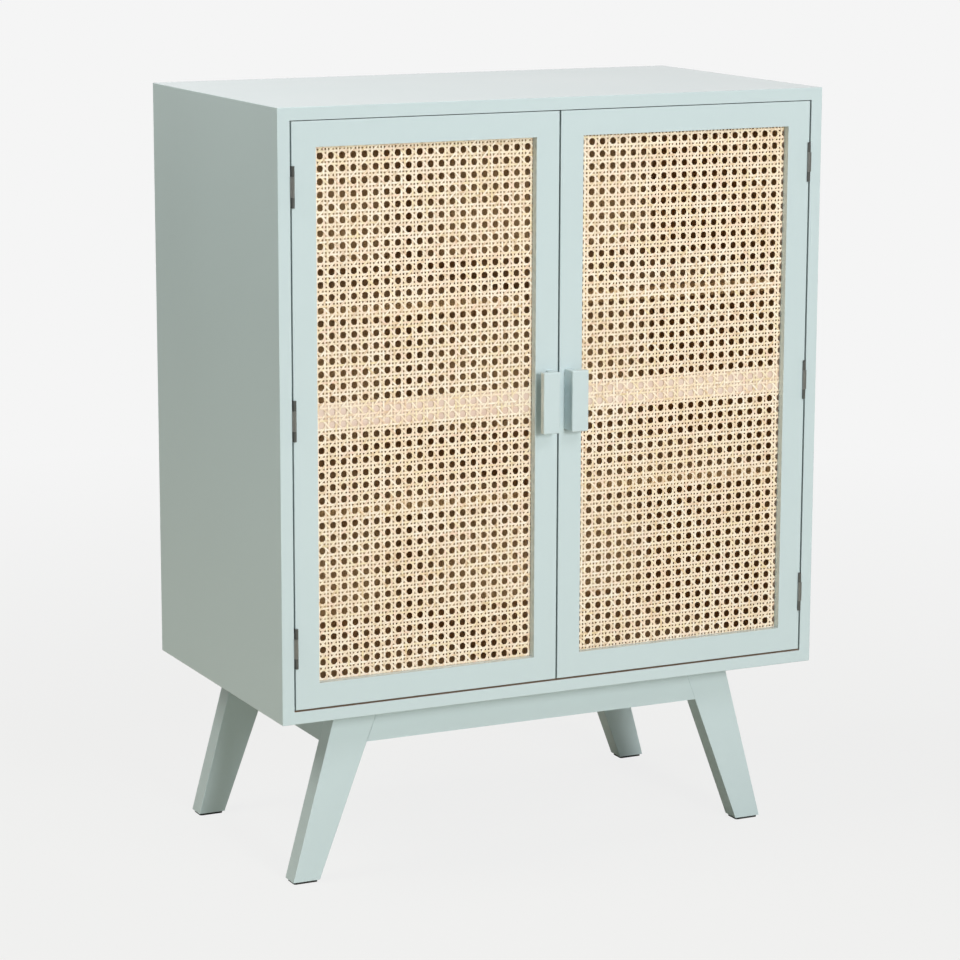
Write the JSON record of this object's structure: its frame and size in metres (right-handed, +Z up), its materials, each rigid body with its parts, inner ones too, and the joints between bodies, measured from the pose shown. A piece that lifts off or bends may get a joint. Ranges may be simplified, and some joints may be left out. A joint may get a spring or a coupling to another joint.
{
  "type": "record cabinet",
  "caption": "Painted record cabinet with two cane-panelled doors, edge-pull handles, two inner shelves and a leg frame with splayed legs.",
  "frame": {"origin": "on the floor, under the centre of the whole cabinet's box, handles included", "axes": "+Z up, -Y to the front where the doors are, +X to the right seen from the front"},
  "size_m": [0.72, 0.421, 0.939],
  "materials": {
    "mint_paint": "satin paint",
    "bare_wood": "bare",
    "cane": "natural cane",
    "nickel": "satin nickel",
    "steel_screws": "zinc",
    "catch_plastic": "matte",
    "magnet": "matte",
    "glide_rubber": "matte"
  },
  "bodies": {
    "cabinet": {"back_apron": "mint_paint", "back_left_leg": "mint_paint", "back_panel": "bare_wood", "back_panel_screws": "steel_screws", "back_right_leg": "mint_paint", "bottom_panel": "mint_paint", "carcass_dowels": "bare_wood", "carcass_hinge_screws": "steel_screws", "catch_housings": "catch_plastic", "catch_magnets": "magnet", "catch_screws": "steel_screws", "corner_block_screws": "steel_screws", "corner_blocks": "bare_wood", "foot_glides": "glide_rubber", "front_apron": "mint_paint", "front_left_leg": "mint_paint", "front_right_leg": "mint_paint", "hinge_pins": "nickel", "left_apron": "mint_paint", "left_carcass_hinge_leaves": "nickel", "left_side_panel": "mint_paint", "leg_frame_dowels": "bare_wood", "lower_shelf": "bare_wood", "right_apron": "mint_paint", "right_carcass_hinge_leaves": "nickel", "right_side_panel": "mint_paint", "shelf_pins": "nickel", "top_panel": "mint_paint", "upper_shelf": "bare_wood"},
    "left_door": {"left_bottom_rail": "mint_paint", "left_cane_beads": "bare_wood", "left_cane_panel": "cane", "left_door_hinge_leaves": "nickel", "left_door_hinge_screws": "steel_screws", "left_handle": "mint_paint", "left_handle_screws": "steel_screws", "left_hinge_stile": "mint_paint", "left_meeting_stile": "mint_paint", "left_mid_rail": "bare_wood", "left_strike_plate": "nickel", "left_strike_screw": "steel_screws", "left_top_rail": "mint_paint"},
    "right_door": {"right_bottom_rail": "mint_paint", "right_cane_beads": "bare_wood", "right_cane_panel": "cane", "right_door_hinge_leaves": "nickel", "right_door_hinge_screws": "steel_screws", "right_handle": "mint_paint", "right_handle_screws": "steel_screws", "right_hinge_stile": "mint_paint", "right_meeting_stile": "mint_paint", "right_mid_rail": "bare_wood", "right_strike_plate": "nickel", "right_strike_screw": "steel_screws", "right_top_rail": "mint_paint"}
  },
  "joints": [
    {"name": "left_door_hinge", "type": "hinge", "parent": "cabinet", "child": "left_door", "pos_m": [-0.342, -0.191, 0.5785], "axis": [0, 0, -1], "range_deg": [0, 180]},
    {"name": "right_door_hinge", "type": "hinge", "parent": "cabinet", "child": "right_door", "pos_m": [0.342, -0.191, 0.5785], "axis": [0, 0, 1], "range_deg": [0, 180]}
  ]
}
